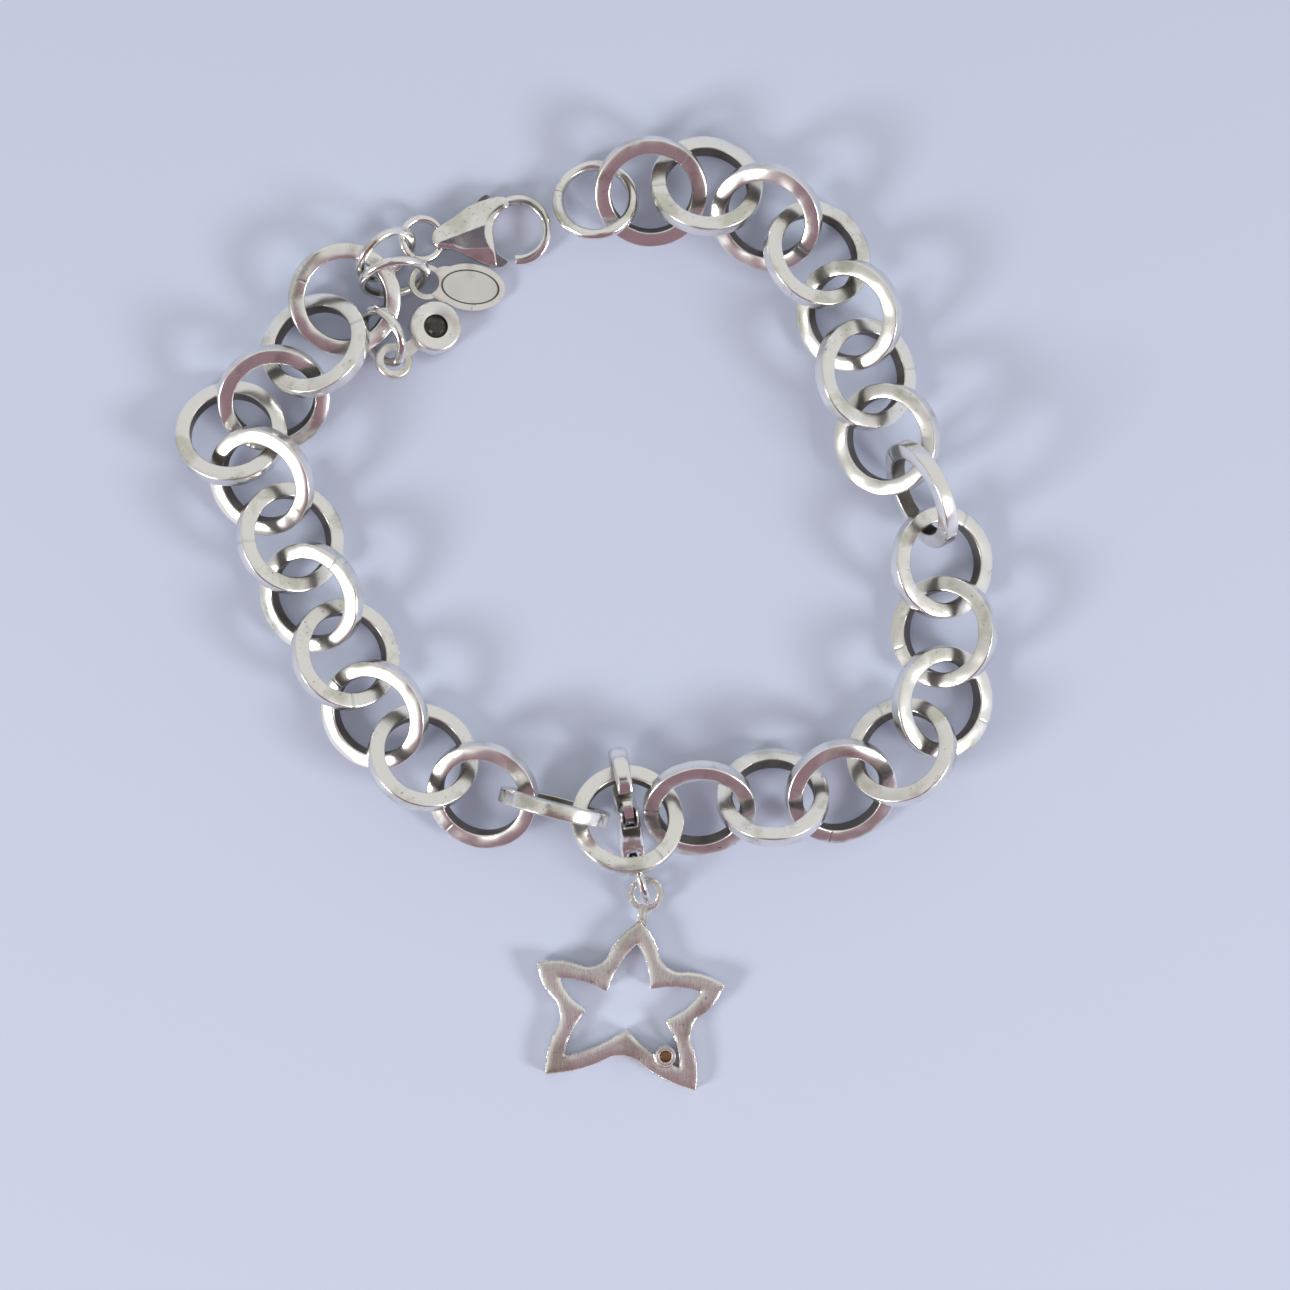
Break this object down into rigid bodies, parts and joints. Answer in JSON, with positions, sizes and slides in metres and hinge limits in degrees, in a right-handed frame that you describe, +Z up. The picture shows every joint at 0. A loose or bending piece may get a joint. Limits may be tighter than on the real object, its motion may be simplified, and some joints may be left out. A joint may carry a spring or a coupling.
{
  "type": "charm bracelet",
  "caption": "Charm bracelet of round square-wire links with trigger clasp, open star, oval tag and stone drop, laid open on a table.",
  "frame": {"origin": "middle of the bounding box on the table that the bracelet lies on", "axes": "+Z up from the table, +Y towards the clasp, +X from the clasp towards the right"},
  "size_m": [0.0616, 0.0718, 0.0085],
  "materials": {
    "silver": "polished sterling silver",
    "brushed_silver": "brushed sterling silver",
    "dark_stone": "polished",
    "brown_stone": "polished"
  },
  "bodies": {
    "bracelet": {"link_01": "silver", "link_02": "silver", "link_03": "silver", "link_04": "silver", "link_05": "silver", "link_06": "silver", "link_07": "silver", "link_08": "silver", "link_09": "silver", "link_10": "silver", "link_11": "silver", "link_12": "silver", "link_13": "silver", "link_14": "silver", "link_15": "silver", "link_16": "silver", "link_17": "silver", "link_18": "silver", "link_19": "silver", "link_20": "silver", "link_21": "silver", "link_22": "silver", "link_23": "silver", "link_24": "silver", "link_25": "silver", "link_26": "silver", "link_27": "silver", "link_28": "silver", "end_ring": "silver", "joining_ring": "silver", "clasp_ring": "silver", "clasp_body": "silver", "tag_ring": "silver", "tag": "silver", "bezel_ring": "silver", "bezel_charm": "silver", "bezel_stone": "dark_stone", "carrier_body": "silver", "charm_ring": "silver", "star": "brushed_silver", "star_stone": "brown_stone"},
    "clasp_lever_body": {"clasp_lever": "silver"},
    "carrier_lever_body": {"carrier_lever": "silver"}
  },
  "joints": [
    {"name": "clasp_lever_hinge", "type": "hinge", "parent": "bracelet", "child": "clasp_lever_body", "pos_m": [-0.00798, 0.02808, 0.00093], "axis": [0, 0, 1], "range_deg": [0, 25], "stiffness_Nm_per_rad": 0.002},
    {"name": "carrier_lever_hinge", "type": "hinge", "parent": "bracelet", "child": "carrier_lever_body", "pos_m": [0.00312, -0.01542, 0.00316], "axis": [-0.9848, -0.1594, 0.0687], "range_deg": [0, 25], "stiffness_Nm_per_rad": 0.002}
  ]
}
